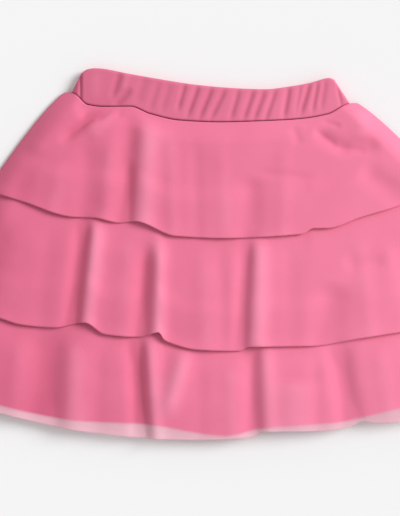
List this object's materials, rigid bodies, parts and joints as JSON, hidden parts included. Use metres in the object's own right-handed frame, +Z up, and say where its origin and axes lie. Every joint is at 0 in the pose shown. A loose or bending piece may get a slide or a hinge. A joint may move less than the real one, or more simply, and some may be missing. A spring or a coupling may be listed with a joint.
{
  "type": "skort",
  "caption": "Child's pull-on skort laid flat: a gathered elastic waistband over shingled flounces on a plain base, with hidden inner shorts.",
  "frame": {"origin": "centre of the garment's outline, on the surface that it lies on", "axes": "+X across the garment, +Y towards the waistband, +Z up out of the surface"},
  "size_m": [0.48, 0.2976, 0.0161],
  "materials": {
    "waistband": "soft fine knit folded over elastic, gathered",
    "flounce": "soft, slightly sheer fine mesh knit with raw hems",
    "base": "plain opaque fine knit",
    "shorts": "plain opaque stretch knit"
  },
  "bodies": {
    "root": {"waistband_front": "waistband", "waistband_back": "waistband", "tier_top_front": "flounce", "tier_top_back": "flounce", "tier_middle_front": "flounce", "tier_middle_back": "flounce", "tier_bottom_front": "flounce", "tier_bottom_back": "flounce", "base_front": "base", "base_back": "base", "shorts_front_left": "shorts", "shorts_front_right": "shorts", "shorts_back_left": "shorts", "shorts_back_right": "shorts"}
  },
  "joints": []
}
